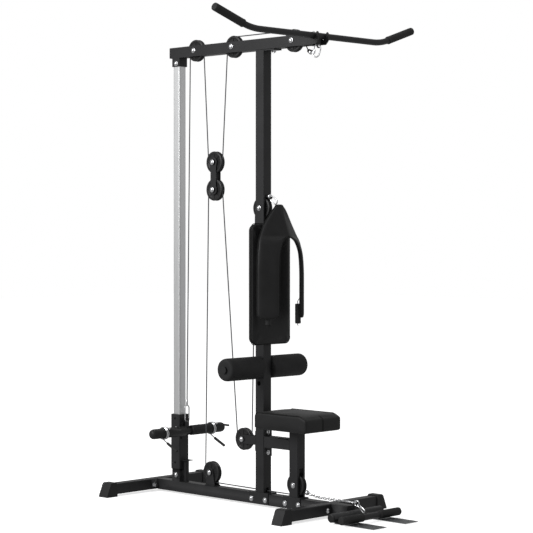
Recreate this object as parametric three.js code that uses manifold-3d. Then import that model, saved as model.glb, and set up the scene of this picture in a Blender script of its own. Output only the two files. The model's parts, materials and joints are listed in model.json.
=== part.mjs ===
// Multi station home gym: lat pull-down, low row and ab-crunch on one plate-loaded carriage.
// Millimetres, +Z up. X runs from the weight carriage at the back to the seat at the front, Y is across.
// Parts are placed from the upright's centre line on the floor; the whole machine is then shifted along X
// so that the origin is the centre of its footprint.
import * as THREE from 'three';
import { mergeVertices } from 'three/addons/utils/BufferGeometryUtils.js';
import Module from 'manifold-3d';

const wasm = await Module();
wasm.setup();

// ---------------------------------------------------------------- driving dimensions
const GAP = 0.3;                 // play left between parts that touch
const TUBE = 50;                 // outer side of the square frame tube
const HALF = TUBE / 2;
const WALL = 2.5;                // frame tube wall
const BEAM_Z = [10, 60];         // floor beam, bottom and top
const BEAM_X = [-686.3, 383.7];  // floor beam over its end flanges
const REAR_X = [-736.6, -686.6]; // rear stabilizer
const FRONT_X = [384, 434];      // front stabilizer
const STABILIZER_Y = 300;        // half length of both stabilizers
const TOP_Z = [2066, 2116];      // top beam, bottom and top
const TOP_X = [-594, 314];
const POST_X = -554;             // guide post axis
const POST = 42;                 // guide post outer side
const SEAT_POST_X = [184, 234];
const SADDLE_TOP = 64.3;         // top of the plates that straddle the floor beam
const SADDLE_SIDE = [25.3, 29.3]; // their side plates, inner and outer |Y|
const SOCKET_HALF = 21.5;        // inside of the sockets that hold the guide post

const PULLEY_R = 51;
const CABLE_RUN_R = 46;          // cable centre line on a pulley
const PULLEY_W = 22;
const CABLE_R = 2.5;
const BOLT_R = 5;
const BORE_R = 6.5;
const SLOT_HALF = 13;            // half width of a pulley slot

const PULLEYS = {                // axle centres, [x, z]
  top_rear: [-434, 2094],
  top_mid: [-184, 2094],
  top_front: [194, 2094],
  crunch: [-4, 1350],
  knee: [-118, 295],
  base: [-330, 122],
  low: [207, 117],
  float_upper: [-310, 1565.5],
  float_lower: [-310, 1438],
};

const SEAT = { x: [54, 366], z: [362.4, 440], halfY: 115 };
const BACK_BOARD = { x: [25.3, 36], z: [744, 1271], halfY: 120, corner: 24 };
const BACK_PAD = { x: [36.3, 62], z: [736, 1279], halfY: 127, corner: 28 };
const ROLLER_Z = 629.5;
const ROLLER = { inner: 28, outer: 249, r: 51, bore: 15 };
const FOOT_PLATE_TOP = 6;
const FOOT_BAR = { x: 556, z: 27, r: 19, halfLength: 158 };
const WEIGHT_BAR = { x: -499, z: 302, halfLength: 233, rodR: 12.5, sleeveR: 23.5 };
const COLLAR_Y = { near: 150, far: 157 };
const LAT_BAR = { x: 338, z: 2104, r: 14, bore: 12, straightY: 423, endY: 638, endZ: 2175 };
const LOW_BAR = { x: 637, z: 27, halfLength: 191, tubeR: 14, gripR: 18, gripFrom: 52 };
const LAT_STOP = [277, 2044];    // ball stops on the cable ends, [x, z]
const LAT_BALL = [292, 2036];
const CRUNCH_BALL = [39, 1402];
const HARNESS_TOP = [87, 1370];
const HARNESS_GRIP = { x: 123.5, y: 97, z: [828, 918], r: 13.5 };
const ROW_BALL = [270, 89];
const CARRIAGE_EYE = [-503, 345];
const CARRIAGE_CABLE_END = [-503, 426];
const BALL_R = 11;
const CENTRE_X = 19.2;           // middle of the footprint, from the upright

// ---------------------------------------------------------------- materials
const finish = (color, roughness, metalness) =>
  new THREE.MeshStandardMaterial({ color, roughness, metalness });
const MATERIALS = {
  frame: finish(0x1b1b1c, 0.45, 0.3),
  post: finish(0xb9bbbd, 0.35, 0.9),
  vinyl: finish(0x141414, 0.6, 0.0),
  foam: finish(0x101010, 0.85, 0.0),
  board: finish(0x181818, 0.7, 0.0),
  pulley: finish(0x121213, 0.4, 0.0),
  steel: finish(0xa9abae, 0.3, 1.0),
  plastic: finish(0x161616, 0.5, 0.0),
  cable: finish(0x3a3b3d, 0.5, 0.2),
  tread: finish(0x55585b, 0.5, 0.7),
};

// ---------------------------------------------------------------- solids
function solidOf(geometry) {
  const plain = geometry.clone();
  plain.deleteAttribute('normal');
  plain.deleteAttribute('uv');
  const merged = mergeVertices(plain, 1e-3);
  return new wasm.Manifold(new wasm.Mesh({
    numProp: 3,
    vertProperties: new Float32Array(merged.attributes.position.array),
    triVerts: new Uint32Array(merged.index.array),
  }));
}

function geometryOf(solid) {
  const mesh = solid.getMesh();
  const geometry = new THREE.BufferGeometry();
  geometry.setAttribute('position', new THREE.BufferAttribute(mesh.vertProperties, 3));
  geometry.setIndex(new THREE.BufferAttribute(mesh.triVerts, 1));
  return geometry;
}

// box from its low and high corner in each axis
function box([x0, x1], [y0, y1], [z0, z1]) {
  const geometry = new THREE.BoxGeometry(x1 - x0, y1 - y0, z1 - z0);
  geometry.translate((x0 + x1) / 2, (y0 + y1) / 2, (z0 + z1) / 2);
  return solidOf(geometry);
}

const across = (half) => [-half, half];
const around = (centre, half) => [centre - half, centre + half];
const sided = (side, [inner, outer]) => (side > 0 ? [inner, outer] : [-outer, -inner]);

// round bar between two points
function rod(from, to, radius, sides = 16) {
  const a = new THREE.Vector3(...from);
  const b = new THREE.Vector3(...to);
  const geometry = new THREE.CylinderGeometry(radius, radius, a.distanceTo(b), sides);
  const turn = new THREE.Quaternion().setFromUnitVectors(
    new THREE.Vector3(0, 1, 0), b.clone().sub(a).normalize());
  geometry.applyQuaternion(turn);
  geometry.translate(...a.clone().add(b).multiplyScalar(0.5).toArray());
  return solidOf(geometry);
}

// round bar along Y at [x, z]
const crossRod = ([x, z], [y0, y1], radius, sides) => rod([x, y0, z], [x, y1, z], radius, sides);

function ball([x, z], radius) {
  const geometry = new THREE.SphereGeometry(radius, 12, 8);
  geometry.translate(x, 0, z);
  return solidOf(geometry);
}

// outline in the X-Z plane, extruded from y0 to y1
function plate(shape, [y0, y1], curveSegments = 6) {
  const geometry = new THREE.ExtrudeGeometry(
    shape, { depth: y1 - y0, bevelEnabled: false, curveSegments });
  geometry.rotateX(Math.PI / 2);
  geometry.translate(0, y1, 0);
  return solidOf(geometry);
}

// turned piece about the Y axis at [x, z]; the profile lists [radius, y]
function turned(profile, [x, z], sides) {
  const points = profile.map(([radius, y]) => new THREE.Vector2(radius, y));
  const geometry = new THREE.LatheGeometry(points, sides);
  geometry.translate(x, 0, z);
  return solidOf(geometry);
}

// closed skin through rings of equal point count, with flat ends
function loft(rings) {
  const count = rings[0].length;
  const positions = rings.flat(2);
  const index = [];
  for (let i = 0; i + 1 < rings.length; i += 1) {
    for (let j = 0; j < count; j += 1) {
      const a = i * count + j;
      const b = i * count + ((j + 1) % count);
      index.push(a, b, b + count, a, b + count, a + count);
    }
  }
  const last = (rings.length - 1) * count;
  for (let j = 1; j + 1 < count; j += 1) {
    index.push(0, j + 1, j, last, last + j, last + j + 1);
  }
  const geometry = new THREE.BufferGeometry();
  geometry.setAttribute('position', new THREE.BufferAttribute(new Float32Array(positions), 3));
  geometry.setIndex(index);
  return solidOf(geometry);
}

// closed wire loop: an ellipse in the plane spanned by two unit axes
function ring(centre, axisA, axisB, a, b, wireR, steps = 16, sides = 8) {
  const c = new THREE.Vector3(...centre);
  const u = new THREE.Vector3(...axisA);
  const v = new THREE.Vector3(...axisB);
  const normal = u.clone().cross(v);
  const positions = [];
  const index = [];
  for (let i = 0; i < steps; i += 1) {
    const t = (2 * Math.PI * i) / steps;
    const point = c.clone().addScaledVector(u, a * Math.cos(t)).addScaledVector(v, b * Math.sin(t));
    const out = u.clone().multiplyScalar(b * Math.cos(t)).addScaledVector(v, a * Math.sin(t)).normalize();
    for (let j = 0; j < sides; j += 1) {
      const s = (2 * Math.PI * j) / sides;
      const p = point.clone().addScaledVector(out, wireR * Math.cos(s))
        .addScaledVector(normal, wireR * Math.sin(s));
      positions.push(...p.toArray());
      const here = i * sides + j;
      const beside = i * sides + ((j + 1) % sides);
      const next = ((i + 1) % steps) * sides;
      index.push(here, next + j, next + ((j + 1) % sides), here, next + ((j + 1) % sides), beside);
    }
  }
  const geometry = new THREE.BufferGeometry();
  geometry.setAttribute('position', new THREE.BufferAttribute(new Float32Array(positions), 3));
  geometry.setIndex(index);
  return solidOf(geometry);
}

// square tube with both ends open; the axis is the letter of its long direction
function squareTube([x0, x1], [y0, y1], [z0, z1], axis, wall = WALL) {
  const inner = ([low, high], letter) => (
    letter === axis ? [low - 1, high + 1] : [low + wall, high - wall]);
  return box([x0, x1], [y0, y1], [z0, z1])
    .subtract(box(inner([x0, x1], 'x'), inner([y0, y1], 'y'), inner([z0, z1], 'z')));
}

const join = (solids) => solids.reduce((sum, solid) => sum.add(solid));

const X = [1, 0, 0];
const Y = [0, 1, 0];
const Z = [0, 0, 1];

// ---------------------------------------------------------------- the scene
const machine = new THREE.Group();
machine.position.x = -CENTRE_X;

function put(name, solid, material) {
  const mesh = new THREE.Mesh(geometryOf(solid), MATERIALS[material]);
  mesh.name = name;
  machine.add(mesh);
}

// ---------------------------------------------------------------- floor frame
function flange([x0, x1], halfY, z) {
  const vent = rod([x0 - 1, 0, 35], [x1 + 1, 0, 35], 8, 12);
  return box([x0, x1], across(halfY), z).subtract(vent);
}

function mainBeam() {
  const [rear, front] = BEAM_X;
  const end = 5;
  const tube = squareTube([rear + end, front - end], across(HALF), BEAM_Z, 'x');
  const socketZ = [BEAM_Z[1] - WALL, 118];
  const socket = box(around(POST_X, HALF), across(HALF), socketZ)
    .subtract(box(around(POST_X, SOCKET_HALF), across(SOCKET_HALF), [BEAM_Z[1], socketZ[1] + 1]));
  const stopPost = box([-516, -498], across(9), [BEAM_Z[1] - WALL, 160]);
  const stopPlate = box([-520, -484], across(22), [160, 163]);
  return join([
    tube,
    flange([rear, rear + end], 62, [12, 58]),
    flange([front - end, front], 62, [12, 58]),
    socket, stopPost, stopPlate,
  ]);
}

function stabilizer([x0, x1]) {
  return squareTube([x0, x1], across(STABILIZER_Y), BEAM_Z, 'y');
}

function footCap([x0, x1], side) {
  const middle = (x0 + x1) / 2;
  const ringAt = (z, halfX, inner, outer) => [
    [middle - halfX, side * inner, z], [middle + halfX, side * inner, z],
    [middle + halfX, side * outer, z], [middle - halfX, side * outer, z],
  ];
  const rings = [
    ringAt(0, 30, 279, 344), ringAt(12, 30, 279, 341),
    ringAt(60, 29.5, 281, 321), ringAt(66, 27, 284, 315),
  ];
  if (side < 0) rings.forEach((r) => r.reverse());
  const pocket = box([x0 - GAP, x1 + GAP], sided(side, [270, STABILIZER_Y + GAP]),
    [BEAM_Z[0] - GAP, BEAM_Z[1] + GAP]);
  return loft(rings).subtract(pocket);
}

function saddle([x0, x1]) {
  const wing = (side) => box([x0, x1], sided(side, SADDLE_SIDE), [12, SADDLE_TOP]);
  const cap = box([x0, x1], across(SADDLE_SIDE[1]), [BEAM_Z[1] + GAP, SADDLE_TOP]);
  return join([cap, wing(1), wing(-1)]);
}

// ---------------------------------------------------------------- uprights and top beam
function upright() {
  const [pulleyX, pulleyZ] = PULLEYS.crunch;
  const tube = squareTube(across(HALF), across(HALF), [SADDLE_TOP - 1, 2061], 'z');
  const topPlate = box([-25, 90], across(HALF), [2060, TOP_Z[0] - GAP]);
  return join([tube, saddle([-62, 55]), topPlate])
    .subtract(box(across(HALF + 1), across(SLOT_HALF), around(pulleyZ, 58)))
    .subtract(box(across(HALF + 1), across(9), [SADDLE_TOP + 0.2, 86]))
    .subtract(crossRod([pulleyX, pulleyZ], across(HALF + 1), BOLT_R + 0.6, 16))
    .subtract(crossRod([0, ROLLER_Z], across(HALF + 1), 13.4, 20))
    .subtract(crossRod([-4, 557], [-HALF - 1, 0], 11, 16));
}

function topBeam() {
  const socketZ = [2025.5, TOP_Z[0] + WALL];
  const socket = box(around(POST_X, HALF), across(HALF), socketZ)
    .subtract(box(around(POST_X, SOCKET_HALF), across(SOCKET_HALF), [socketZ[0] - 1, TOP_Z[0]]));
  let beam = squareTube(TOP_X, across(HALF), TOP_Z, 'x').add(socket);
  for (const key of ['top_rear', 'top_mid', 'top_front']) {
    const [x, z] = PULLEYS[key];
    beam = beam.subtract(box(around(x, 54), across(SLOT_HALF), [TOP_Z[0] - 1, TOP_Z[1] + 1]))
      .subtract(crossRod([x, z], across(HALF + 1), BOLT_R + 0.6, 16));
  }
  // the lat cable and its carabiner pass through a slot that runs on to the front end
  return beam.subtract(
    box([PULLEYS.top_front[0], TOP_X[1] + 1], across(SLOT_HALF), [TOP_Z[0] - 1, TOP_Z[0] + WALL + 1]));
}

function guidePost() {
  return squareTube(around(POST_X, POST / 2), across(POST / 2), [60.5, 2065.5], 'z', 2);
}

function bumper() {
  return box(around(POST_X, 29), across(29), [118.3, 121.1])
    .subtract(box(around(POST_X, 22), across(22), [118, 122]));
}

// saddle over the front of the top beam, with two hooks that hold the lat bar
function barCradle() {
  const { x, z, r } = LAT_BAR;
  const cup = r + 1;
  const top = TOP_Z[1] + 5;
  const hook = new THREE.Shape();
  hook.moveTo(262, top);
  hook.lineTo(262, 2072);
  hook.lineTo(270, TOP_Z[0]);
  hook.lineTo(352, TOP_Z[0]);
  hook.lineTo(367, 2082);
  hook.lineTo(367, 2117);
  hook.lineTo(360, 2122);
  hook.lineTo(x + cup, 2116);
  hook.lineTo(x + cup, z);
  hook.absarc(x, z, cup, 0, Math.PI, true);
  hook.lineTo(x - cup, top);
  hook.closePath();
  return join([
    box([262, 322], across(35), [TOP_Z[1] + GAP, top]),
    plate(hook, [30, 35]), plate(hook, [-35, -30]),
  ]);
}

// ---------------------------------------------------------------- seat, pads and rollers
function seatPost() {
  const [x0, x1] = SEAT_POST_X;
  const plateZ = [SEAT.z[0] - 4.4, SEAT.z[0] - 0.4];
  const tube = squareTube([x0, x1], across(HALF), [SADDLE_TOP - 1, plateZ[0] + 1], 'z');
  return join([tube, saddle([150, 252]), box([168, 246], across(60), plateZ)])
    .subtract(box([x0 - 1, x1 + 1], across(SLOT_HALF), [SADDLE_TOP + 0.2, 192]))
    .subtract(crossRod(PULLEYS.low, across(HALF + 1), BOLT_R + 0.6, 16))
    .subtract(rod([225, 0, plateZ[0] - 8], [225, 0, plateZ[1] + 8], 4, 8));
}

function seatBracket() {
  const arm = squareTube([29, SEAT_POST_X[0] - GAP], across(HALF), [270, 320], 'x');
  return arm.add(box([25.3, 29.3], across(HALF), [228, 357]));
}

function seatCushion() {
  const [back, front] = SEAT.x;
  const [bottom, top] = SEAT.z;
  const side = new THREE.Shape();
  side.moveTo(back + 6, bottom);
  side.lineTo(front - 5, bottom);
  side.lineTo(front, bottom + 5);
  side.lineTo(front, top - 22);
  side.quadraticCurveTo(front, top - 16, front - 6, top - 13);
  side.lineTo(front - 27, top - 2.5);
  side.quadraticCurveTo(front - 34, top, front - 42, top);
  side.lineTo(back + 18, top);
  side.quadraticCurveTo(back, top, back, top - 18);
  side.lineTo(back, bottom + 6);
  side.closePath();
  return plate(side, across(SEAT.halfY), 3);
}

function roundedPanel({ halfY, z: [z0, z1], corner, x: [x0, x1] }) {
  const shape = new THREE.Shape();
  shape.moveTo(-halfY + corner, z0);
  shape.lineTo(halfY - corner, z0);
  shape.absarc(halfY - corner, z0 + corner, corner, -Math.PI / 2, 0, false);
  shape.lineTo(halfY, z1 - corner);
  shape.absarc(halfY - corner, z1 - corner, corner, 0, Math.PI / 2, false);
  shape.lineTo(-halfY + corner, z1);
  shape.absarc(-halfY + corner, z1 - corner, corner, Math.PI / 2, Math.PI, false);
  shape.lineTo(-halfY, z0 + corner);
  shape.absarc(-halfY + corner, z0 + corner, corner, Math.PI, Math.PI * 1.5, false);
  const geometry = new THREE.ExtrudeGeometry(
    shape, { depth: x1 - x0, bevelEnabled: false, curveSegments: 5 });
  geometry.rotateX(Math.PI / 2);
  geometry.rotateZ(Math.PI / 2);
  geometry.translate(x0, 0, 0);
  return solidOf(geometry);
}

function rollerTube() {
  const capY = [ROLLER.outer + 0.6, ROLLER.outer + 7];
  const cap = (side) => crossRod([0, ROLLER_Z], sided(side, capY), 16, 16);
  return join([crossRod([0, ROLLER_Z], across(ROLLER.outer + 3), 12.7, 16), cap(1), cap(-1)]);
}

function roller(side) {
  const { inner, outer, r, bore } = ROLLER;
  const profile = [
    [bore, inner], [r - 4, inner], [r, inner + 4], [r, outer - 11],
    [r - 4, outer - 2], [r - 14, outer], [bore, outer],
  ];
  const placed = profile.map(([radius, y]) => [radius, side * y]);
  placed.push(placed[0]);
  if (side < 0) placed.reverse();
  return turned(placed, [0, ROLLER_Z], 20);
}

// ---------------------------------------------------------------- foot frame
function footFrame() {
  const { x, z, r, halfLength } = FOOT_BAR;
  const armEnd = 527;
  const arm = squareTube([FRONT_X[1] + GAP, armEnd], across(HALF), BEAM_Z, 'x');
  const endPlate = box([armEnd - 3, armEnd], across(HALF), BEAM_Z);
  const tongue = box([armEnd - 7, x - 4], across(HALF), [12, 20]);
  const bar = crossRod([x, z], across(halfLength), r, 20);
  const tab = (side) => box([x - 4, x + r - 1], sided(side, [62, 146]), [FOOT_PLATE_TOP + GAP, 14]);
  return join([arm, endPlate, tongue, bar, tab(1), tab(-1)]);
}

function footPlate(side) {
  return box([562, 780], sided(side, [60, 148]), [FOOT_PLATE_TOP - 3, FOOT_PLATE_TOP]);
}

// ---------------------------------------------------------------- pulleys and their supports
function pulley(key) {
  const half = PULLEY_W / 2;
  const profile = [
    [BORE_R, -half], [PULLEY_R - 2, -half], [PULLEY_R, -half + 3], [42, -4], [42, 4],
    [PULLEY_R, half - 3], [PULLEY_R - 2, half], [BORE_R, half], [BORE_R, -half],
  ];
  return turned(profile, PULLEYS[key], 20);
}

// bolt with a domed head at the near side and a nut at the far side
function axleBolt(place) {
  const profile = [
    [0, -33], [6, -32], [10, -27], [10, -25.3], [BOLT_R, -25.3], [BOLT_R, 25.3],
    [9, 25.3], [9, 33], [0, 33],
  ];
  return turned(profile, place, 12);
}

function bracketBolt(place, reach) {
  const profile = [
    [0, -reach - 7], [6, -reach - 6], [10, -reach - 1.5], [10, -reach + 0.5], [BOLT_R, -reach + 0.5],
    [BOLT_R, reach - 0.5], [9, reach - 0.5], [9, reach + 7], [0, reach + 7],
  ];
  return turned(profile, place, 12);
}

const CHEEK = [12.5, 16.5];      // pulley bracket plates, inner and outer |Y|

function cheeks(shape) {
  return join([plate(shape, CHEEK), plate(shape, [-CHEEK[1], -CHEEK[0]])]);
}

function basePulleyBracket() {
  const [x, z] = PULLEYS.base;
  const foot = BEAM_Z[1] + GAP;
  const footHalf = 30;
  const crown = 19;                // radius round the axle; the sides lean in to meet it
  const lean = THREE.MathUtils.degToRad(14);
  const shape = new THREE.Shape();
  shape.moveTo(x - footHalf, foot);
  shape.lineTo(x + footHalf, foot);
  shape.absarc(x, z, crown, lean, Math.PI - lean, false);
  shape.closePath();
  const base = box(around(x, footHalf), across(22), [foot, foot + 4]);
  return join([cheeks(shape), base, bracketBolt(PULLEYS.base, CHEEK[1])]);
}

function kneePulleyBracket() {
  const [x, z] = PULLEYS.knee;
  const back = -HALF - GAP;
  const shape = new THREE.Shape();
  shape.moveTo(back, z - 20);
  shape.lineTo(back, z + 20);
  shape.lineTo(x, z + 20);
  shape.absarc(x, z, 20, Math.PI / 2, Math.PI * 1.5, false);
  shape.closePath();
  const foot = box([back - 4, back], across(HALF), [z - 45, z + 45]);
  return join([cheeks(shape), foot, bracketBolt(PULLEYS.knee, CHEEK[1])]);
}

function floatYoke() {
  const [x, upper] = PULLEYS.float_upper;
  const lower = PULLEYS.float_lower[1];
  const bulge = 24;
  const neck = 18;
  const lean = Math.asin(neck / bulge);
  const shape = new THREE.Shape();
  shape.absarc(x, upper, bulge, -Math.PI / 2 + lean, Math.PI * 1.5 - lean, false);
  shape.absarc(x, lower, bulge, Math.PI / 2 + lean, Math.PI * 2.5 - lean, false);
  shape.closePath();
  return join([
    cheeks(shape), bracketBolt(PULLEYS.float_upper, CHEEK[1]), bracketBolt(PULLEYS.float_lower, CHEEK[1]),
  ]);
}

// ---------------------------------------------------------------- weight carriage
function carriageSleeve() {
  const hole = (z) => rod([POST_X, -31, z], [POST_X, -20, z], 5, 12);
  return box([-583, -523], across(30), [121.4, 377.7])
    .subtract(box(around(POST_X, 23), across(23), [120, 379]))
    .subtract(hole(149)).subtract(hole(358));
}

function weightBar() {
  const { x, z, halfLength, rodR } = WEIGHT_BAR;
  const [eyeX, eyeZ] = CARRIAGE_EYE;
  const eye = box([eyeX - 13, eyeX + 12], across(3), [eyeZ - 25, eyeZ + 14])
    .subtract(crossRod([eyeX, eyeZ], across(4), 6.5, 12));
  return join([
    box([-522.7, -516.7], across(18.5), [262, 342]),
    box([-517, -497], across(18), [282, 322]),
    crossRod([x, z], across(halfLength), rodR, 16),
    eye,
  ]);
}

function pegSleeve(side) {
  const { x, z, halfLength, rodR, sleeveR } = WEIGHT_BAR;
  const profile = [
    [rodR + 0.6, 19], [sleeveR - 2, 19], [sleeveR, 21], [sleeveR, halfLength - 8],
    [sleeveR - 4, halfLength], [rodR + 0.6, halfLength],
  ].map(([radius, y]) => [radius, side * y]);
  profile.push(profile[0]);
  if (side < 0) profile.reverse();
  return turned(profile, [x, z], 20);
}

// spring collar: a coil round the sleeve, and a handle from its top and its bottom
function collar(side, middleY) {
  const { x, z, sleeveR } = WEIGHT_BAR;
  const inner = sleeveR + 0.9;
  const outer = sleeveR + 5;
  const halfWidth = 13;
  const profile = [
    [inner, -halfWidth], [outer, -halfWidth], [outer, halfWidth], [inner, halfWidth], [inner, -halfWidth],
  ].map(([radius, y]) => [radius, y + side * middleY]);
  // the points are offsets from the peg's axis: where the wire, its grip and both ends lie
  const handle = (wireFrom, gripFrom, to, gripR, y) => {
    const at = ([dx, dz]) => [x + dx, side * middleY + y, z + dz];
    return join([rod(at(wireFrom), at(to), 2.6, 8), rod(at(gripFrom), at(to), gripR, 10)]);
  };
  return join([
    turned(profile, [x, z], 20),
    handle([18.5, 20.5], [34, 20.4], [108, 20], 4.6, 9),
    handle([5, -27], [33, -43], [100, -75], 6.2, -9),
  ]);
}

// ---------------------------------------------------------------- lat bar
class BarCurve extends THREE.CurvePath {
  constructor() {
    super();
    const { x, z, straightY, endY, endZ } = LAT_BAR;
    const blend = 26;
    const slope = (endZ - z) / (endY - straightY);
    const point = (y, height) => new THREE.Vector3(x, y, height);
    const before = straightY - blend;
    const after = straightY + blend;
    const lift = slope * blend;
    this.add(new THREE.LineCurve3(point(-endY, endZ), point(-after, z + lift)));
    this.add(new THREE.QuadraticBezierCurve3(
      point(-after, z + lift), point(-straightY, z), point(-before, z)));
    this.add(new THREE.LineCurve3(point(-before, z), point(before, z)));
    this.add(new THREE.QuadraticBezierCurve3(
      point(before, z), point(straightY, z), point(after, z + lift)));
    this.add(new THREE.LineCurve3(point(after, z + lift), point(endY, endZ)));
  }
}

function latBar() {
  const { x, z, r, bore } = LAT_BAR;
  const section = new THREE.Shape().absarc(0, 0, r, 0, 2 * Math.PI);
  section.holes.push(new THREE.Path().absarc(0, 0, bore, 0, 2 * Math.PI));
  const tube = solidOf(new THREE.ExtrudeGeometry(section, {
    steps: 22, extrudePath: new BarCurve(), curveSegments: 8,
  }));
  const tab = box(around(x, 2), across(13), [2052, z - bore - 1])
    .subtract(rod([x - 4, 0, 2062.8], [x + 4, 0, 2062.8], 8, 12));
  return tube.add(tab);
}

function latGrip(side) {
  const { x, z, straightY, endY, endZ } = LAT_BAR;
  const slope = (endZ - z) / (endY - straightY);
  const at = (y) => [x, side * y, z + slope * (y - straightY)];
  return rod(at(470), at(endY + 5), 18, 16).subtract(rod(at(469), at(endY + 1), 14.9, 16));
}

function latClip() {
  return join([
    rod([LAT_STOP[0], 0, LAT_STOP[1]], [LAT_BALL[0], 0, LAT_BALL[1]], 8, 12),
    ball(LAT_BALL, BALL_R),
  ]);
}

// ---------------------------------------------------------------- ab-crunch harness
function crunchClip() {
  const [x, z] = CRUNCH_BALL;
  const run = new THREE.Vector3(HARNESS_TOP[0] - x, 0, HARNESS_TOP[1] - z);
  const reach = run.length();
  const along = run.normalize().toArray();
  const upward = [-along[2], 0, along[0]];
  const from = BALL_R - 2;
  const half = (reach - from - 3) / 2;
  const middle = [x + along[0] * (from + half), 0, z + along[2] * (from + half)];
  return ball(CRUNCH_BALL, BALL_R).add(ring(middle, along, upward, half, 12, 3));
}

// padded yoke: two strips, one panel down to an arch over the neck, then one leg before each shoulder
function harnessStrip(side) {
  const [topX, topZ] = HARNESS_TOP;
  const sections = [            // drop, inner edge [x, y], outer edge [x, y], half thickness
    [4, [11, -20], [11, 20], 8],
    [34, [22, -18], [10, 46], 10],
    [90, [48, -10], [1, 86], 11],
    [130, [62, -8], [3, 110], 11],
    [147, [67, -4], [5, 119], 11],
    [155, [70, 18], [6, 123], 11],
    [168, [74, 38], [7, 128], 11],
    [190, [78, 52], [9, 133], 11],
    [230, [82, 66], [11, 140], 11],
    [300, [84, 72], [12.5, 144], 11],
    [490, [84, 73], [12.5, 144.5], 11],
    [516, [70, 87], [26, 131], 9],
  ];
  const rings = sections.map(([drop, inner, outer, thick]) => {
    const run = new THREE.Vector2(outer[0] - inner[0], outer[1] - inner[1]).setLength(thick);
    const [deepX, deepY] = [run.y, -run.x];
    const points = [[inner, -1], [outer, -1], [outer, 1], [inner, 1]].map(([edge, face]) => [
      topX + edge[0] + face * deepX, side * (edge[1] + face * deepY), topZ - drop,
    ]);
    return side > 0 ? points : points.reverse();
  });
  return loft(rings);
}

// hand grip held against the inner face of a leg
function harnessGrip(side) {
  const { x, y, z, r } = HARNESS_GRIP;
  return rod([x, side * y, z[0]], [x, side * y, z[1]], r, 14);
}

function harness() {
  return join([harnessStrip(1), harnessStrip(-1), harnessGrip(1), harnessGrip(-1)]);
}

// ---------------------------------------------------------------- low row end
const CHAIN_ROUTE = [[279, 86], [344, 75.5], [565, 77], [590, 60], [604, 40]];

function rowChain() {
  const pieces = [ball(ROW_BALL, BALL_R)];
  const pitch = 21;
  const path = new THREE.CurvePath();
  for (let i = 0; i + 1 < CHAIN_ROUTE.length; i += 1) {
    const [a, b] = [CHAIN_ROUTE[i], CHAIN_ROUTE[i + 1]].map(([x, z]) => new THREE.Vector3(x, 0, z));
    path.add(new THREE.LineCurve3(a, b));
  }
  const count = Math.round(path.getLength() / pitch);
  for (let i = 0; i < count; i += 1) {
    const a = path.getPointAt(i / count);
    const b = path.getPointAt((i + 1) / count);
    const [wide, deep] = i % 2 ? [12, 4] : [4, 12];
    const geometry = new THREE.BoxGeometry(a.distanceTo(b) + 5, wide, deep);
    geometry.rotateY(-Math.atan2(b.z - a.z, b.x - a.x));
    geometry.translate((a.x + b.x) / 2, 0, (a.z + b.z) / 2);
    pieces.push(solidOf(geometry));
  }
  return join(pieces);
}

function lowBar() {
  const { x, z, halfLength, tubeR } = LOW_BAR;
  const tab = box([608.5, x - 5], across(4), [z - 8, z + 12])
    .subtract(crossRod([616, z + 3], across(5), 5, 12));
  return crossRod([x, z], across(halfLength - 3), tubeR, 16).add(tab);
}

function lowGrip(side) {
  const { x, z, halfLength, tubeR, gripR, gripFrom } = LOW_BAR;
  const bore = crossRod([x, z], sided(side, [gripFrom - 1, halfLength - 2.5]), tubeR + 0.8, 16);
  return crossRod([x, z], sided(side, [gripFrom, halfLength]), gripR, 16).subtract(bore);
}

// ---------------------------------------------------------------- cables
// A belt route in the X-Z plane: end points, and pulleys passed clockwise (turn 1) or anticlockwise (-1)
// when seen from -Y.
function cableRoute(start, passes, end) {
  const points = [new THREE.Vector2(...start)];
  const stations = [{ centre: new THREE.Vector2(...start), turn: 0 },
    ...passes.map(([key, turn]) => ({ centre: new THREE.Vector2(...PULLEYS[key]), turn })),
    { centre: new THREE.Vector2(...end), turn: 0 }];
  const tangents = [];
  for (let i = 0; i + 1 < stations.length; i += 1) {
    const [a, b] = [stations[i], stations[i + 1]];
    const between = b.centre.clone().sub(a.centre);
    const offset = (a.turn - b.turn) * CABLE_RUN_R;
    const along = between.angle() - Math.asin(offset / between.length());
    const left = new THREE.Vector2(-Math.sin(along), Math.cos(along));
    tangents.push([
      a.centre.clone().addScaledVector(left, a.turn * CABLE_RUN_R),
      b.centre.clone().addScaledVector(left, b.turn * CABLE_RUN_R),
    ]);
  }
  for (let i = 1; i + 1 < stations.length; i += 1) {
    const { centre, turn } = stations[i];
    const into = tangents[i - 1][1].clone().sub(centre).angle();
    const out = tangents[i][0].clone().sub(centre).angle();
    let sweep = out - into;
    if (turn > 0 && sweep > 0) sweep -= 2 * Math.PI;
    if (turn < 0 && sweep < 0) sweep += 2 * Math.PI;
    const steps = Math.max(2, Math.ceil(Math.abs(sweep) / THREE.MathUtils.degToRad(15)));
    for (let j = 0; j <= steps; j += 1) {
      const t = into + (sweep * j) / steps;
      points.push(new THREE.Vector2(CABLE_RUN_R * Math.cos(t), CABLE_RUN_R * Math.sin(t)).add(centre));
    }
  }
  points.push(new THREE.Vector2(...end));
  return points;
}

function cable(points) {
  const sides = 8;
  const rings = points.map((point, i) => {
    const before = points[Math.max(i - 1, 0)];
    const after = points[Math.min(i + 1, points.length - 1)];
    const along = after.clone().sub(before).normalize();
    const ringPoints = [];
    for (let j = 0; j < sides; j += 1) {
      const s = (-2 * Math.PI * j) / sides;
      const out = CABLE_R * Math.cos(s);
      ringPoints.push([point.x - along.y * out, CABLE_R * Math.sin(s), point.y + along.x * out]);
    }
    return ringPoints;
  });
  return loft(rings);
}

const near = ([x, z], dx, dz) => [x + dx, z + dz];

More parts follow.
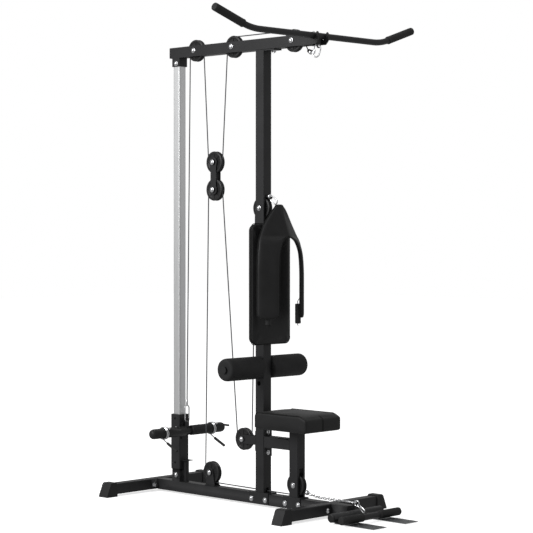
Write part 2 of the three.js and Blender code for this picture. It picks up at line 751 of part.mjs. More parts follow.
// ---------------------------------------------------------------- assembly
put('main_beam', mainBeam(), 'frame');
put('rear_stabilizer', stabilizer(REAR_X), 'frame');
put('front_stabilizer', stabilizer(FRONT_X), 'frame');
for (const [place, span] of [['rear', REAR_X], ['front', FRONT_X]]) {
  put(`foot_cap_${place}_near`, footCap(span, -1), 'plastic');
  put(`foot_cap_${place}_far`, footCap(span, 1), 'plastic');
}
put('upright', upright(), 'frame');
put('top_beam', topBeam(), 'frame');
put('guide_post', guidePost(), 'post');
put('carriage_bumper', bumper(), 'foam');
put('bar_cradle', barCradle(), 'frame');

put('seat_post', seatPost(), 'frame');
put('seat_bracket', seatBracket(), 'frame');
put('seat_cushion', seatCushion(), 'vinyl');
put('back_board', roundedPanel(BACK_BOARD), 'board');
put('back_pad', roundedPanel(BACK_PAD), 'vinyl');
put('roller_tube', rollerTube(), 'plastic');
put('roller_near', roller(-1), 'foam');
put('roller_far', roller(1), 'foam');

put('foot_frame', footFrame(), 'frame');
put('foot_plate_near', footPlate(-1), 'tread');
put('foot_plate_far', footPlate(1), 'tread');

put('knee_pulley_bracket', kneePulleyBracket(), 'frame');
put('base_pulley_bracket', basePulleyBracket(), 'frame');
put('float_yoke', floatYoke(), 'frame');
for (const key of Object.keys(PULLEYS)) put(`pulley_${key}`, pulley(key), 'pulley');
for (const key of ['top_rear', 'top_mid', 'top_front', 'crunch', 'low']) {
  put(`axle_bolt_${key}`, axleBolt(PULLEYS[key]), 'steel');
}

put('carriage_sleeve', carriageSleeve(), 'frame');
put('weight_bar', weightBar(), 'frame');
put('peg_sleeve_near', pegSleeve(-1), 'plastic');
put('peg_sleeve_far', pegSleeve(1), 'plastic');
put('collar_near', collar(-1, COLLAR_Y.near), 'steel');
put('collar_far', collar(1, COLLAR_Y.far), 'steel');
put('carriage_carabiner', ring([CARRIAGE_EYE[0], 0, 383], Y, Z, 13, 38, 3), 'steel');

put('lat_clip', latClip(), 'steel');
put('lat_carabiner', ring([327, 0, 2040], X, Z, 20.5, 27, 3), 'steel');
put('lat_bar', latBar(), 'frame');
put('lat_grip_near', latGrip(-1), 'foam');
put('lat_grip_far', latGrip(1), 'foam');

put('crunch_clip', crunchClip(), 'steel');
put('crunch_harness', harness(), 'vinyl');

put('row_chain', rowChain(), 'steel');
put('low_bar', lowBar(), 'frame');
put('low_grip_near', lowGrip(-1), 'foam');
put('low_grip_far', lowGrip(1), 'foam');

put('cable_upper', cable(cableRoute(CARRIAGE_CABLE_END,
  [['top_rear', 1], ['float_upper', -1], ['top_mid', 1], ['top_front', 1]],
  near(LAT_STOP, -1.5, 0.9))), 'cable');
put('cable_lower', cable(cableRoute(near(ROW_BALL, -11, -4),
  [['low', 1], ['base', 1], ['float_lower', 1], ['knee', -1], ['crunch', 1]],
  near(CRUNCH_BALL, -11.6, -2))), 'cable');

export default machine;
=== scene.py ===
"""Multi station home gym: the looks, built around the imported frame. Metres, +Z up."""
import json
import math

import bmesh
import bpy
from mathutils import Matrix, Vector


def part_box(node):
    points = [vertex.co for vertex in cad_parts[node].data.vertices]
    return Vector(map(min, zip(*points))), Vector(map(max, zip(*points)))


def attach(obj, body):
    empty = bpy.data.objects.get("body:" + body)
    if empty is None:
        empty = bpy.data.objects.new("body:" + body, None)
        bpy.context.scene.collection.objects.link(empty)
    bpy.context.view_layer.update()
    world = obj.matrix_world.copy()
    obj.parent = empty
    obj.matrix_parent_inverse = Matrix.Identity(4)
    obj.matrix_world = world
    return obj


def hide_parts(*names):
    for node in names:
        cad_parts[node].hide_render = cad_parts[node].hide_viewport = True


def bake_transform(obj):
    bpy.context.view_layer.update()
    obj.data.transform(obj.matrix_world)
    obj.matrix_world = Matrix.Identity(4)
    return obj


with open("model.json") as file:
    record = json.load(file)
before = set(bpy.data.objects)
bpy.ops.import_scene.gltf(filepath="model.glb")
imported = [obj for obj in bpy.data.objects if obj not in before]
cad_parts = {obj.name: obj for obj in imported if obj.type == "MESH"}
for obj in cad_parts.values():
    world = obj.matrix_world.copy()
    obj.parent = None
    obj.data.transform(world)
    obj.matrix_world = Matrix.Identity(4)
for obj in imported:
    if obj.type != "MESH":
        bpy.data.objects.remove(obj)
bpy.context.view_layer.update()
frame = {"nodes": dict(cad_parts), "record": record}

NODES = frame["nodes"]
MM = 0.001
SIDES = [(-1, "near"), (1, "far")]


# ------------------------------------------------------------------ places
def middle(node):
    low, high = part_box(node)
    return (low + high) / 2


UPRIGHT_X = middle("roller_tube").x      # the frame's own centre line, in the row frame
PULLEYS = ["top_rear", "top_mid", "top_front", "crunch", "knee", "base", "low", "float_upper", "float_lower"]
AXLE = {key: middle(f"pulley_{key}") for key in PULLEYS}
RUN_R = 0.046                            # cable centre line on a pulley
CABLE_R = 0.0026


def at(x, y, z):
    """A point given in millimetres from the upright's foot."""
    return Vector((UPRIGHT_X + x * MM, y * MM, z * MM))


# ------------------------------------------------------------------ camera, light and floor
AMBIENT = 0.46           # strength of the studio's all-round light


def add_camera():
    data = bpy.data.cameras.new("camera")
    data.lens = 118.34
    data.sensor_width = 36
    data.shift_x = 0.0380
    data.shift_y = -0.0675
    data.clip_end = 60
    camera = bpy.data.objects.new("camera", data)
    camera.location = at(5523.4, -5703.8, 1248.4)
    camera.rotation_euler = (math.radians(90), 0, math.radians(44.64))
    bpy.context.scene.collection.objects.link(camera)
    bpy.context.scene.camera = camera


def add_area_light(name, place, target, size, watts):
    data = bpy.data.lights.new(name, "AREA")
    data.shape = "RECTANGLE"
    data.size, data.size_y = size
    data.energy = watts
    light = bpy.data.objects.new(name, data)
    light.location = place
    light.rotation_euler = (Vector(target) - Vector(place)).to_track_quat("-Z", "Y").to_euler()
    bpy.context.scene.collection.objects.link(light)


def add_stage():
    world = bpy.data.worlds.new("studio")
    world.use_nodes = True
    background = world.node_tree.nodes["Background"]
    background.inputs["Color"].default_value = (1, 1, 1, 1)
    background.inputs["Strength"].default_value = AMBIENT
    # the backdrop itself is plain white, while the light it sheds is softer
    backdrop = world.node_tree.nodes.new("ShaderNodeBackground")
    backdrop.inputs["Color"].default_value = (1, 1, 1, 1)
    seen = world.node_tree.nodes.new("ShaderNodeLightPath")
    mix = world.node_tree.nodes.new("ShaderNodeMixShader")
    world.node_tree.links.new(seen.outputs["Is Camera Ray"], mix.inputs[0])
    world.node_tree.links.new(background.outputs[0], mix.inputs[1])
    world.node_tree.links.new(backdrop.outputs[0], mix.inputs[2])
    world.node_tree.links.new(mix.outputs[0], world.node_tree.nodes["World Output"].inputs["Surface"])
    bpy.context.scene.world = world
    focus = (0, 0, 1.0)
    add_area_light("key_light", (-1.6, -5.5, 3.4), focus, (3.0, 3.0), 268)
    add_area_light("side_light", (5.0, 2.4, 2.6), focus, (2.4, 3.0), 12)
    add_area_light("top_light", (0.2, -0.6, 5.2), focus, (3.0, 3.0), 34)
    bpy.ops.mesh.primitive_plane_add(size=40, location=(0, 0, 0))
    floor = bpy.context.object
    floor.name = "floor"
    floor.data.materials.append(MATERIAL["floor"])
    # the floor shows and takes shadows, but its whiteness doesn't light the machine from below
    floor.visible_diffuse = False
    floor.visible_glossy = False
    bpy.context.scene.view_settings.view_transform = "Standard"


# ------------------------------------------------------------------ materials
def new_material(name, color, roughness, metallic=0.0):
    """A principled material; returns it with its node tree and shader."""
    material = bpy.data.materials.new(name)
    material.use_nodes = True
    tree = material.node_tree
    shader = tree.nodes["Principled BSDF"]
    shader.inputs["Base Color"].default_value = (*color, 1)
    shader.inputs["Roughness"].default_value = roughness
    shader.inputs["Metallic"].default_value = metallic
    shader.inputs["Specular IOR Level"].default_value = 0.5 if metallic else 0.24
    return material, tree, shader


def object_coordinates(tree, scale=(1, 1, 1)):
    coordinates = tree.nodes.new("ShaderNodeTexCoord")
    mapping = tree.nodes.new("ShaderNodeMapping")
    mapping.inputs["Scale"].default_value = scale
    tree.links.new(coordinates.outputs["Object"], mapping.inputs["Vector"])
    return mapping.outputs["Vector"]


def noise(tree, vector, scale, detail=3.0, roughness=0.5):
    node = tree.nodes.new("ShaderNodeTexNoise")
    node.inputs["Scale"].default_value = scale
    node.inputs["Detail"].default_value = detail
    node.inputs["Roughness"].default_value = roughness
    tree.links.new(vector, node.inputs["Vector"])
    return node.outputs["Fac"]


def cells(tree, vector, scale, feature="DISTANCE_TO_EDGE"):
    node = tree.nodes.new("ShaderNodeTexVoronoi")
    node.feature = feature
    node.inputs["Scale"].default_value = scale
    tree.links.new(vector, node.inputs["Vector"])
    return node.outputs["Distance"]


def ramp(tree, value, low, high, a, b):
    """Maps value from low..high onto the colours a..b."""
    node = tree.nodes.new("ShaderNodeValToRGB")
    node.color_ramp.elements[0].position = low
    node.color_ramp.elements[1].position = high
    node.color_ramp.elements[0].color = (*a, 1)
    node.color_ramp.elements[1].color = (*b, 1)
    tree.links.new(value, node.inputs["Fac"])
    return node.outputs["Color"]


def spread(tree, value, low, high):
    """Maps value from 0..1 onto low..high."""
    node = tree.nodes.new("ShaderNodeMapRange")
    node.inputs["To Min"].default_value = low
    node.inputs["To Max"].default_value = high
    tree.links.new(value, node.inputs["Value"])
    return node.outputs["Result"]


def bump(tree, shader, height, strength, distance):
    node = tree.nodes.new("ShaderNodeBump")
    node.inputs["Strength"].default_value = strength
    node.inputs["Distance"].default_value = distance
    tree.links.new(height, node.inputs["Height"])
    tree.links.new(node.outputs["Normal"], shader.inputs["Normal"])


def shaded(color, factor):
    return tuple(min(1.0, c * factor) for c in color)


def grained(name, color, roughness, grain, depth, metallic=0.0, vary=0.18, coat=0.0, stretch=(1, 1, 1)):
    """A moulded or coated surface: fine grain, slow colour drift and uneven gloss."""
    material, tree, shader = new_material(name, color, roughness, metallic)
    vector = object_coordinates(tree, stretch)
    drift = noise(tree, vector, 9.0, 4.0)
    tree.links.new(ramp(tree, drift, 0.3, 0.7, shaded(color, 1 - vary), shaded(color, 1 + vary)),
                   shader.inputs["Base Color"])
    smear = noise(tree, vector, 34.0, 5.0, 0.6)
    tree.links.new(spread(tree, smear, roughness - 0.09, roughness + 0.09), shader.inputs["Roughness"])
    bump(tree, shader, noise(tree, vector, grain, 2.0), 0.35, depth)
    if coat:
        shader.inputs["Coat Weight"].default_value = coat
        shader.inputs["Coat Roughness"].default_value = 0.3
    return material


def leathery(name, color, roughness):
    """Embossed vinyl: small pebbles with creases between them and a soft sheen."""
    material, tree, shader = new_material(name, color, roughness)
    vector = object_coordinates(tree)
    pebbles = cells(tree, vector, 620.0)
    wrinkle = noise(tree, vector, 210.0, 4.0)
    mix = tree.nodes.new("ShaderNodeMath")
    mix.operation = "MULTIPLY_ADD"
    mix.inputs[1].default_value = 0.6
    tree.links.new(pebbles, mix.inputs[0])
    tree.links.new(wrinkle, mix.inputs[2])
    bump(tree, shader, mix.outputs["Value"], 0.4, 0.0006)
    worn = noise(tree, vector, 13.0, 4.0)
    tree.links.new(ramp(tree, worn, 0.32, 0.7, shaded(color, 0.8), shaded(color, 1.25)),
                   shader.inputs["Base Color"])
    tree.links.new(spread(tree, worn, roughness - 0.08, roughness + 0.08), shader.inputs["Roughness"])
    shader.inputs["Sheen Weight"].default_value = 0.04
    shader.inputs["Sheen Roughness"].default_value = 0.4
    return material


def brushed(name, color, roughness):
    """Plated steel, drawn lengthwise."""
    material, tree, shader = new_material(name, color, roughness, 1.0)
    vector = object_coordinates(tree, (1, 1, 0.02))
    streak = noise(tree, vector, 420.0, 4.0, 0.7)
    tree.links.new(spread(tree, streak, roughness - 0.08, roughness + 0.1), shader.inputs["Roughness"])
    tree.links.new(ramp(tree, streak, 0.2, 0.8, shaded(color, 0.92), shaded(color, 1.04)),
                   shader.inputs["Base Color"])
    bump(tree, shader, streak, 0.05, 0.0002)
    return material


def pale_floor():
    material, _, shader = new_material("floor", (0.85, 0.85, 0.85), 0.95)
    shader.inputs["Specular IOR Level"].default_value = 0.1
    shader.inputs["Emission Color"].default_value = (1, 1, 1, 1)
    shader.inputs["Emission Strength"].default_value = 0.66
    return material


MATERIAL = {
    "frame_paint": grained("powder_coat", (0.017, 0.017, 0.018), 0.42, 900.0, 0.0004),
    "post_steel": brushed("satin_post_steel", (0.66, 0.665, 0.67), 0.42),
    "rubber": grained("black_rubber", (0.014, 0.014, 0.014), 0.75, 500.0, 0.0004),
    "vinyl": leathery("grained_vinyl", (0.0085, 0.0085, 0.0088), 0.5),
    # piping: a real welt cord, coloured darker than the vinyl; that extra darkness is painted shade of the seam
    # grooves along it
    "piping": grained("piping_darkened_painted_seam_shade", (0.006, 0.006, 0.006), 0.6, 700.0, 0.0002),
    "webbing": grained("black_webbing", (0.019, 0.019, 0.0193), 0.8, 900.0, 0.0006),
    "board": grained("stained_board", (0.02, 0.019, 0.018), 0.7, 260.0, 0.0005, stretch=(1, 1, 0.2)),
    "plastic": grained("moulded_plastic", (0.014, 0.014, 0.0145), 0.48, 1200.0, 0.0003),
    "foam": grained("closed_cell_foam", (0.016, 0.016, 0.0165), 0.72, 420.0, 0.0008),
    "tread_plate": grained("tread_steel", (0.1, 0.104, 0.108), 0.45, 240.0, 0.0003, metallic=0.75),
    "pulley": grained("pulley_nylon", (0.017, 0.017, 0.0175), 0.36, 700.0, 0.0002),
    "zinc": grained("bright_zinc", (0.62, 0.625, 0.635), 0.24, 300.0, 0.00015, metallic=1.0, vary=0.06),
    "grip": grained("grip_rubber", (0.018, 0.018, 0.0182), 0.66, 520.0, 0.0005),
    "cable": grained("coated_cable", (0.06, 0.062, 0.066), 0.4, 600.0, 0.0002),
    "floor": pale_floor(),
}


# ------------------------------------------------------------------ making pieces
def piece(name, mesh, body, slot, replaces=(), angle=35, look=None):
    """Links a mesh as a piece that rides on a body and takes its slot's material, or its own look."""
    if isinstance(mesh, bmesh.types.BMesh):
        bm = mesh
        bmesh.ops.recalc_face_normals(bm, faces=bm.faces)
        mesh = bpy.data.meshes.new(name)
        bm.to_mesh(mesh)
        bm.free()
    mesh.materials.clear()
    mesh.materials.append(MATERIAL[look or slot])
    mesh.polygons.foreach_set("use_smooth", [True] * len(mesh.polygons))
    mesh.set_sharp_from_angle(angle=math.radians(angle))
    obj = bpy.data.objects.new(name, mesh)
    bpy.context.scene.collection.objects.link(obj)
    if body:
        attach(obj, body)
    for node in replaces:
        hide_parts(node)
    return obj


def body_of(node):
    for body, nodes in frame["record"]["behaviour"]["bodies"].items():
        if node in nodes:
            return body
    return None


def slot_of(node):
    for row in frame["record"]["subparts"]:
        if row["node"] == node:
            return row["material_slot"]
    return None


def join_meshes(target, others):
    """Adds the geometry of bmeshes to the first one and frees them."""
    for other in others:
        mesh = bpy.data.meshes.new("join")
        other.to_mesh(mesh)
        other.free()
        target.from_mesh(mesh)
        bpy.data.meshes.remove(mesh)
    return target


def ring_faces(bm, first, second):
    count = len(first)
    for j in range(count):
        bm.faces.new((first[j], first[(j + 1) % count], second[(j + 1) % count], second[j]))


def frames_along(points, closed=False):
    """Tangent and two normals at each point, carried without twist."""
    count = len(points)
    tangents = []
    for i in range(count):
        before = points[i - 1] if i or closed else points[0]
        after = points[(i + 1) % count] if i + 1 < count or closed else points[-1]
        tangents.append((after - before).normalized())
    side = tangents[0].orthogonal().normalized()
    result = []
    for tangent in tangents:
        side = (side - tangent * side.dot(tangent)).normalized()
        result.append((tangent, side, tangent.cross(side)))
    return result


def swept(points, radius, sides=12, closed=False, bm=None):
    """A round tube along points; radius is a number or one number per point."""
    bm = bm or bmesh.new()
    radii = radius if isinstance(radius, list) else [radius] * len(points)
    rings = []
    for point, r, (_, u, v) in zip(points, radii, frames_along(points, closed)):
        ring = []
        for j in range(sides):
            turn = 2 * math.pi * j / sides
            ring.append(bm.verts.new(point + u * (r * math.cos(turn)) + v * (r * math.sin(turn))))
        rings.append(ring)
    for a, b in zip(rings, rings[1:] + ([rings[0]] if closed else [])):
        ring_faces(bm, a, b)
    if not closed:
        bm.faces.new(list(reversed(rings[0])))
        bm.faces.new(rings[-1])
    return bm


def turned(start, direction, profile, sides=32, bm=None):
    """Turns a profile of (distance along, radius) in millimetres about the line from start."""
    bm = bm or bmesh.new()
    axis = Vector(direction).normalized()
    u = axis.orthogonal().normalized()
    v = axis.cross(u)
    rings = []
    for along, radius in profile:
        centre = start + axis * (along * MM)
        if radius == 0:
            rings.append([bm.verts.new(centre)])
            continue
        rings.append([
            bm.verts.new(centre + (u * math.cos(2 * math.pi * j / sides)
                                   + v * math.sin(2 * math.pi * j / sides)) * (radius * MM))
            for j in range(sides)])
    for a, b in zip(rings, rings[1:]):
        if len(a) == len(b):
            ring_faces(bm, a, b)
        else:
            tip, ring = (a[0], b) if len(a) == 1 else (b[0], a)
            for j in range(sides):
                bm.faces.new((tip, ring[j], ring[(j + 1) % sides]))
    if len(rings[0]) > 1 and profile[0] != profile[-1]:
        bm.faces.new(rings[0])
    if len(rings[-1]) > 1 and profile[0] != profile[-1]:
        bm.faces.new(rings[-1])
    if profile[0] == profile[-1]:
        bmesh.ops.remove_doubles(bm, verts=bm.verts, dist=1e-7)
    return bm


def loft(rings, bm=None):
    """A closed skin through rings of points."""
    bm = bm or bmesh.new()
    made = [[bm.verts.new(p) for p in ring] for ring in rings]
    for a, b in zip(made, made[1:]):
        ring_faces(bm, a, b)
    bm.faces.new(list(reversed(made[0])))
    bm.faces.new(made[-1])
    return bm


def block(low, high, width=0.0, segments=2, bm=None):
    """A box with rounded edges."""
    part = bmesh.new()
    bmesh.ops.create_cube(part, size=1)
    low, high = Vector(low), Vector(high)
    bmesh.ops.scale(part, vec=high - low, verts=part.verts)
    bmesh.ops.translate(part, vec=(low + high) / 2, verts=part.verts)
    if width:
        bmesh.ops.bevel(part, geom=part.edges[:], offset=width, segments=segments,
                        affect="EDGES", profile=0.5)
    return join_meshes(bm, [part]) if bm else part


# ------------------------------------------------------------------ steelwork with rounded edges
CORNER = 0.0042          # outside corner radius of the square tube
DEBURR = 0.0007          # broken edge of cut plate
LONG_EDGE = 0.09


def bevel_where(bm, test, offset, segments):
    edges = [e for e in bm.edges if e.is_manifold and e.is_convex
             and e.calc_face_angle(0) > math.radians(30) and test(e)]
    if edges:
        bmesh.ops.bevel(bm, geom=edges, offset=offset, segments=segments, affect="EDGES",
                        profile=0.5, clamp_overlap=True)


def rounded(node, corner=CORNER, long_edge=LONG_EDGE, deburr=DEBURR, slot=None):
    """The CAD node again, with its long edges rolled and its other edges broken."""
    bm = bmesh.new()
    bm.from_mesh(NODES[node].data)
    bmesh.ops.remove_doubles(bm, verts=bm.verts, dist=1e-6)
    bmesh.ops.dissolve_limit(bm, angle_limit=math.radians(1), verts=bm.verts, edges=bm.edges)
    if corner:
        bevel_where(bm, lambda e: e.calc_length() > long_edge, corner, 4)
    if deburr:
        bevel_where(bm, lambda e: e.calc_length() > 4 * deburr
                    and e.calc_face_angle(0) > math.radians(50), deburr, 1)
    obj = piece(f"{node}_finished", bm, body_of(node), slot or slot_of(node), [node])
    obj.modifiers.new("weighted_normals", "WEIGHTED_NORMAL").keep_sharp = True
    return obj


def make_frame():
    for node in ["main_beam", "rear_stabilizer", "front_stabilizer", "upright", "top_beam", "guide_post",
                 "seat_post", "seat_bracket", "foot_frame", "carriage_sleeve"]:
        rounded(node)
    for node in ["knee_pulley_bracket", "base_pulley_bracket", "float_yoke", "bar_cradle", "weight_bar",
                 "roller_tube", "carriage_bumper", "back_board"]:
        rounded(node, corner=0)


# ------------------------------------------------------------------ bolts
def dome_bolt(place, direction, radius=9.5, height=6.0, washer=True):
    """The head of a coach bolt, on an optional flat washer."""
    profile = [(0, 0)]
    start = 0
    if washer:
        profile += [(0, radius + 2.6), (1.4, radius + 2.6), (1.6, radius + 2.2), (1.6, radius)]
        start = 1.6
    steps = 6
    for i in range(steps + 1):
        turn = math.pi / 2 * i / steps
        profile.append((start + 0.8 + (height - 0.8) * math.sin(turn),
                        radius * math.cos(turn) if i < steps else 0))
    return turned(place, direction, profile, 24)


def hex_nut(place, direction, across_flats=17.0, height=8.0, stub=4.0):
    """A nut with chamfered corners on a washer, and the bolt's end standing out of it."""
    bm = turned(place, direction, [(0, 0), (0, 12.5), (1.5, 12.5), (1.5, 0)], 28)
    corner = across_flats / 2 / math.cos(math.pi / 6)
    nut = turned(place, direction, [(1.5, 0), (1.5, corner), (height, corner), (height + 1.0, corner - 1.4),
                                    (height + 1.0, 0)], 6)
    tip = height + stub
    end = turned(place, direction, [(height, 0), (height, 4.8), (tip - 0.8, 4.8), (tip, 4.0), (tip, 0)], 16)
    return join_meshes(bm, [nut, end])


def bolt_pair(name, x, z, reach, body="root", replaces=()):
    """A bolt through a tube: its domed head on the near side and its nut on the far side."""
    head = dome_bolt(at(x, -reach, z), (0, -1, 0))
    nut = hex_nut(at(x, reach, z), (0, 1, 0))
    return piece(name, join_meshes(head, [nut]), body, "zinc", replaces)


def make_bolts():
    for key in ["top_rear", "top_mid", "top_front", "crunch", "low"]:
        x, z = (AXLE[key].x - UPRIGHT_X) / MM, AXLE[key].z / MM
        head = dome_bolt(at(x, -25.2, z), (0, -1, 0))
        nut = hex_nut(at(x, 25.2, z), (0, 1, 0))
        shank = turned(at(x, -26, z), (0, 1, 0), [(0, 0), (0, 5), (52, 5), (52, 0)], 16)
        piece(f"axle_bolt_{key}_finished", join_meshes(head, [nut, shank]), "root", "zinc",
              [f"axle_bolt_{key}"])
    for name, x, z in [("upright_foot_rear", -48.3, 33), ("upright_foot_front", 38, 33),
                       ("seat_foot_rear", 161, 33), ("seat_foot_front", 242, 33)]:
        bolt_pair(f"bolt_{name}", x, z, 29.2)
    bolt_pair("bolt_post_base", -553, 90, 25)
    bolt_pair("bolt_post_top", -553, 2040, 25)
    for key, body in [("knee", "root"), ("base", "root"), ("float_upper", "float"), ("float_lower", "float")]:
        x, z = (AXLE[key].x - UPRIGHT_X) / MM, AXLE[key].z / MM
        head = dome_bolt(at(x, -23.2, z), (0, -1, 0), radius=9.5, height=5)
        piece(f"bolt_head_{key}", head, body, "zinc")
    for name, x, way in [("stabilizer_rear", -681.3, 1), ("stabilizer_front", 378.7, -1)]:
        for side, tag in SIDES:
            piece(f"nut_{name}_{tag}", hex_nut(at(x, side * 46, 33), (way, 0, 0)), "root", "zinc")
            outer = -736.6 if way > 0 else 434
            head = dome_bolt(at(outer, side * 46, 33), (-way, 0, 0))
            piece(f"bolt_{name}_{tag}", head, "root", "zinc")
    for name, z in [("upper", 338), ("lower", 245)]:
        piece(f"bolt_seat_bracket_{name}", dome_bolt(at(29.3, 0, z), (1, 0, 0), radius=8, height=5),
              "root", "zinc")
    piece("bolt_top_plate_front", hex_nut(at(66, 0, 2060), (0, 0, -1)), "root", "zinc")
    for i, x in enumerate([276, 306]):
        head = dome_bolt(at(x, 0, 2121.3), (0, 0, 1), radius=7.5, height=5)
        piece(f"bolt_cradle_{i}", head, "root", "zinc")


# ------------------------------------------------------------------ caps
def make_caps():
    low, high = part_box("top_beam")
    for name, x, way in [("rear", low.x, -1), ("front", high.x, 1)]:
        inner = x - way * 0.004
        outer = x + way * 0.006
        half, foot, top, edge = 0.0249, 2.0661, 2.1159, 0.0035
        parts = [((-half, foot), (half, top))]
        if name == "front":
            # open below, where the lat bar's carabiner rises
            slot, roof, edge = 0.0150, 2.1070, 0.0015
            parts = [((-half, foot), (-slot, top)), ((slot, foot), (half, top)), ((-slot, roof), (slot, top))]
        slabs = [block((min(inner, outer), *a), (max(inner, outer), *b), edge, 3) for a, b in parts]
        bm = join_meshes(slabs[0], slabs[1:])
        # the rim stands on the tube's end face
        cut = x + way * 0.0002
        for vert in bm.verts:
            if (vert.co.x - cut) * way < 0:
                vert.co.x = cut
        piece(f"beam_cap_{name}", bm, "root", "plastic")
    low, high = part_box("foot_frame")
    tube = at(556, 0, 27)
    for name, side in [("near", -1), ("far", 1)]:
        start = Vector((tube.x, side * 0.1581, tube.z))
        profile = [(-14, 0), (-14, 17), (0, 17), (0, 19.2), (4, 19.2), (6.5, 16.5), (7.2, 12), (7.4, 0)]
        piece(f"foot_bar_cap_{name}", turned(start, (0, side, 0), profile, 36), "root", "plastic")
    for node in ["foot_cap_rear_near", "foot_cap_rear_far", "foot_cap_front_near", "foot_cap_front_far"]:
        bm = bmesh.new()
        bm.from_mesh(NODES[node].data)
        bmesh.ops.remove_doubles(bm, verts=bm.verts, dist=1e-6)
        bmesh.ops.dissolve_limit(bm, angle_limit=math.radians(1), verts=bm.verts, edges=bm.edges)
        low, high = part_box(node)
        grounded = 0.001
        bevel_where(bm, lambda e: max(v.co.z for v in e.verts) > grounded, 0.0028, 3)
        obj = piece(f"{node}_finished", bm, "root", "plastic", [node])
        obj.modifiers.new("weighted_normals", "WEIGHTED_NORMAL").keep_sharp = True


# ------------------------------------------------------------------ pulleys
def make_pulleys():
    half = 11
    for key in PULLEYS:
        profile = [
            (-half, 6.4), (-half, 15), (-half + 0.8, 16), (-half + 2.2, 17.5), (-half + 2.4, 19),
            (-half + 2.4, 38), (-half + 1.6, 40), (-half, 41.5), (-half, 49), (-half + 0.8, 50.6),
            (-half + 2.2, 51), (-5.2, 46.5), (-3.4, 43.6), (0, 42.6), (3.4, 43.6), (5.2, 46.5),
            (half - 2.2, 51), (half - 0.8, 50.6), (half, 49), (half, 41.5), (half - 1.6, 40),
            (half - 2.4, 38), (half - 2.4, 19), (half - 2.2, 17.5), (half - 0.8, 16), (half, 15),
            (half, 6.4), (-half, 6.4),
        ]
        bm = turned(AXLE[key], (0, 1, 0), profile, 56)
        # low ribs on both webs
        ribs = 8
        for i in range(ribs):
            turn = 2 * math.pi * i / ribs
            for side in (-1, 1):
                web = side * 0.0098
                rib = block((0.0185, web - 0.0009, -0.0011), (0.0395, web + 0.0009, 0.0011), 0.0004, 1)
                bmesh.ops.rotate(rib, cent=(0, 0, 0), matrix=Matrix.Rotation(turn, 3, "Y"), verts=rib.verts)
                bmesh.ops.translate(rib, vec=AXLE[key], verts=rib.verts)
                join_meshes(bm, [rib])
        piece(f"pulley_{key}_finished", bm, f"pulley_{key}", "pulley", [f"pulley_{key}"])


# ------------------------------------------------------------------ cables
def tangent_run(a, turn_a, b, turn_b):
    """The straight stretch between two circles (turn 1 clockwise from -Y, -1 the other way, 0 a point)."""
    flat = Vector((b.x - a.x, b.z - a.z))
    lean = math.asin((turn_a - turn_b) * RUN_R / flat.length)
    heading = math.atan2(flat.y, flat.x) - lean
    left = Vector((-math.sin(heading), 0, math.cos(heading)))
    return a + left * (turn_a * RUN_R), b + left * (turn_b * RUN_R)


def arc_points(centre, start, end, turn):
    first = math.atan2(start.z - centre.z, start.x - centre.x)
    sweep = math.atan2(end.z - centre.z, end.x - centre.x) - first
    if turn > 0 and sweep > 0:
        sweep -= 2 * math.pi
    if turn < 0 and sweep < 0:
        sweep += 2 * math.pi
    steps = max(3, math.ceil(abs(sweep) / math.radians(6)))
    return [centre + Vector((math.cos(first + sweep * i / steps), 0, math.sin(first + sweep * i / steps))) * RUN_R
            for i in range(steps + 1)]


def make_cable(name, node, start, passes, end, first_body, last_body):
    """One cable: straight runs that stretch between moving bodies, and arcs that ride with their pulleys."""
    stations = [(start, 0, first_body)]
    stations += [(AXLE[key], turn, "float" if key.startswith("float") else "root") for key, turn in passes]
    stations += [(end, 0, last_body)]
    runs = [tangent_run(a[0], a[1], b[0], b[1]) for a, b in zip(stations, stations[1:])]
    count = 0
    held = []
    for i, (a, b) in enumerate(runs):
        body_a, body_b = stations[i][2], stations[i + 1][2]
        if body_a == body_b:
            held += [a, b] if not held else [b]
        else:
            if held:
                arc_piece(f"{name}_{count}", held, body_a, node)
                count += 1
                held = []
            run = piece(f"{name}_{count}", swept([a, a.lerp(b, 0.5), b], CABLE_R, 12), None, "cable", [node])
            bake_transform(run)
            count += 1
        if i + 1 < len(runs):
            centre, turn, _ = stations[i + 1]
            held += arc_points(centre, b, runs[i + 1][0], turn)[0 if not held else 1:]
    if held:
        arc_piece(f"{name}_{count}", held, stations[-2][2], node)


def arc_piece(name, points, body, node):
    piece(name, swept(points, CABLE_R, 12), body, "cable", [node])


def make_cables():
    carriage_end = middle("carriage_carabiner") + Vector((0, 0, 0.043))
    lat_end = at(276, 0, 2044.6)
    row_end = at(260, 0, 85.5)
    crunch_end = at(29, 0, 1400.5)
    make_cable("cable_upper", "cable_upper", carriage_end,
               [("top_rear", 1), ("float_upper", -1), ("top_mid", 1), ("top_front", 1)], lat_end,
               "carriage", "lat_end")
    make_cable("cable_lower", "cable_lower", row_end,
               [("low", 1), ("base", 1), ("float_lower", 1), ("knee", -1), ("crunch", 1)], crunch_end,
               "row_end", "crunch_end")


# ------------------------------------------------------------------ clips, balls and chain
def wire_loop(centre, along, across, half_long, half_wide, wire, steps=48, sides=12):
    """A closed wire link: two half circles joined by straight sides."""
    along, across = Vector(along).normalized(), Vector(across).normalized()
    straight = half_long - half_wide
    points = []
    for i in range(steps):
        turn = 2 * math.pi * i / steps
        shift = straight if math.cos(turn) >= 0 else -straight
        points.append(centre + along * (half_wide * math.cos(turn) + shift)
                      + across * (half_wide * math.sin(turn)))
    return swept(points, wire, sides, closed=True)


def cable_ball(place, radius=11):
    steps = 12
    profile = [(radius * (1 - math.cos(math.pi * i / steps)), radius * math.sin(math.pi * i / steps))
               for i in range(steps + 1)]
    profile[0] = (0, 0)
    profile[-1] = (2 * radius, 0)
    return turned(place - Vector((radius * MM, 0, 0)), (1, 0, 0), profile, 28)


